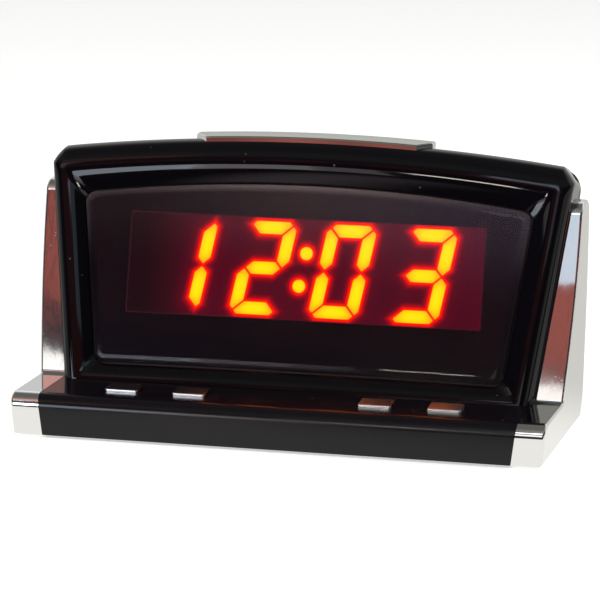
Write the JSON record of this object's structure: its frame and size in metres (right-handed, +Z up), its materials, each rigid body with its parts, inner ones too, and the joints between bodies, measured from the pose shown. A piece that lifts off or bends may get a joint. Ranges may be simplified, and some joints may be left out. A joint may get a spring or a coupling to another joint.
{
  "type": "digital led desk clock",
  "caption": "Desk clock with a tilted gloss-black housing, a large red LED display, chromed side frames, keys on a low base and a snooze bar on top.",
  "frame": {"origin": "middle of the clock's footprint, on the plane that its rubber pads stand on", "axes": "+X to the right as seen from the front, -Y towards the viewer, +Z up"},
  "size_m": [0.2, 0.078, 0.1044],
  "materials": {
    "gloss_black": "piano-black gloss, almost mirror smooth",
    "base_black": "piano-black gloss on the base's top and front",
    "plate_black": "fine-grained black moulding",
    "chrome_plating": "mirror-bright chrome plating over plastic",
    "smoked_lens": "deep smoked red, polished and see-through",
    "bar_satin": "satin olive-grey paint with a bright front edge",
    "pad_rubber": "soft matte rubber",
    "cell_metal": "foil-sleeved round cells with bare steel ends",
    "contact_metal": "bright nickel plate",
    "screw_metal": "zinc-plated steel",
    "display_black": "black face and walls of the light wells",
    "led_lit": "glowing diffusers, yellow in the middle and red at the rim",
    "led_dark": "unlit red diffusers",
    "board_green": "green solder mask",
    "chip_black": "black moulding compound",
    "button_white": "off-white moulding",
    "can_metal": "drawn metal cans",
    "cable_grey": "grey insulation"
  },
  "bodies": {
    "clock": {"front_frame": "gloss_black", "display_lens": "smoked_lens", "rear_cover": "gloss_black", "base_shell": "base_black", "base_plate": "plate_black", "side_frame_right": "chrome_plating", "side_frame_left": "chrome_plating", "rubber_pads": "pad_rubber", "battery_cells": "cell_metal", "battery_contacts": "contact_metal", "supply_socket": "plate_black", "supply_socket_pin": "contact_metal", "alarm_switch_case": "contact_metal", "display_reflector": "display_black", "lit_segments": "led_lit", "unlit_segments": "led_dark", "colon_dots": "led_lit", "display_board": "board_green", "display_pins": "contact_metal", "main_board": "board_green", "clock_chip": "chip_black", "capacitors": "can_metal", "buzzer": "chip_black", "crystal": "can_metal", "voltage_regulator": "chip_black", "key_board": "board_green", "key_switches": "chip_black", "key_switch_buttons": "button_white", "snooze_board": "board_green", "snooze_switch": "chip_black", "snooze_switch_button": "button_white", "display_ribbon": "cable_grey", "ribbon_connectors": "button_white", "key_ribbon": "cable_grey", "snooze_leads": "cable_grey", "rear_cover_screws": "screw_metal", "housing_screws": "screw_metal", "base_screws": "screw_metal", "side_frame_screws": "screw_metal", "board_screws": "screw_metal"},
    "snooze": {"snooze_bar": "bar_satin"},
    "time_button": {"time_key": "chrome_plating"},
    "hour_button": {"hour_key": "chrome_plating"},
    "minute_button": {"minute_key": "chrome_plating"},
    "alarm_button": {"alarm_key": "chrome_plating"},
    "door": {"battery_door": "plate_black"},
    "alarm_slider": {"alarm_switch_knob": "plate_black"}
  },
  "joints": [
    {"name": "time_key_press", "type": "slide", "parent": "clock", "child": "time_button", "axis": [0, 0, -1], "range_m": [0, 0.0006], "stiffness_N_per_m": 800, "springref_m": -0.0005},
    {"name": "hour_key_press", "type": "slide", "parent": "clock", "child": "hour_button", "axis": [0, 0, -1], "range_m": [0, 0.0006], "stiffness_N_per_m": 800, "springref_m": -0.0005},
    {"name": "minute_key_press", "type": "slide", "parent": "clock", "child": "minute_button", "axis": [0, 0, -1], "range_m": [0, 0.0006], "stiffness_N_per_m": 800, "springref_m": -0.0005},
    {"name": "alarm_key_press", "type": "slide", "parent": "clock", "child": "alarm_button", "axis": [0, 0, -1], "range_m": [0, 0.0006], "stiffness_N_per_m": 800, "springref_m": -0.0005},
    {"name": "snooze_press", "type": "slide", "parent": "clock", "child": "snooze", "axis": [0, -0.2487, -0.9686], "range_m": [0, 0.0008], "stiffness_N_per_m": 1500, "springref_m": -0.0005},
    {"name": "battery_door_hinge", "type": "hinge", "parent": "clock", "child": "door", "pos_m": [-0.022, 0.0341, 0.0217], "axis": [-1, 0, 0], "range_deg": [0, 80]},
    {"name": "alarm_switch_slide", "type": "slide", "parent": "clock", "child": "alarm_slider", "axis": [1, 0, 0], "range_m": [0, 0.004]}
  ]
}
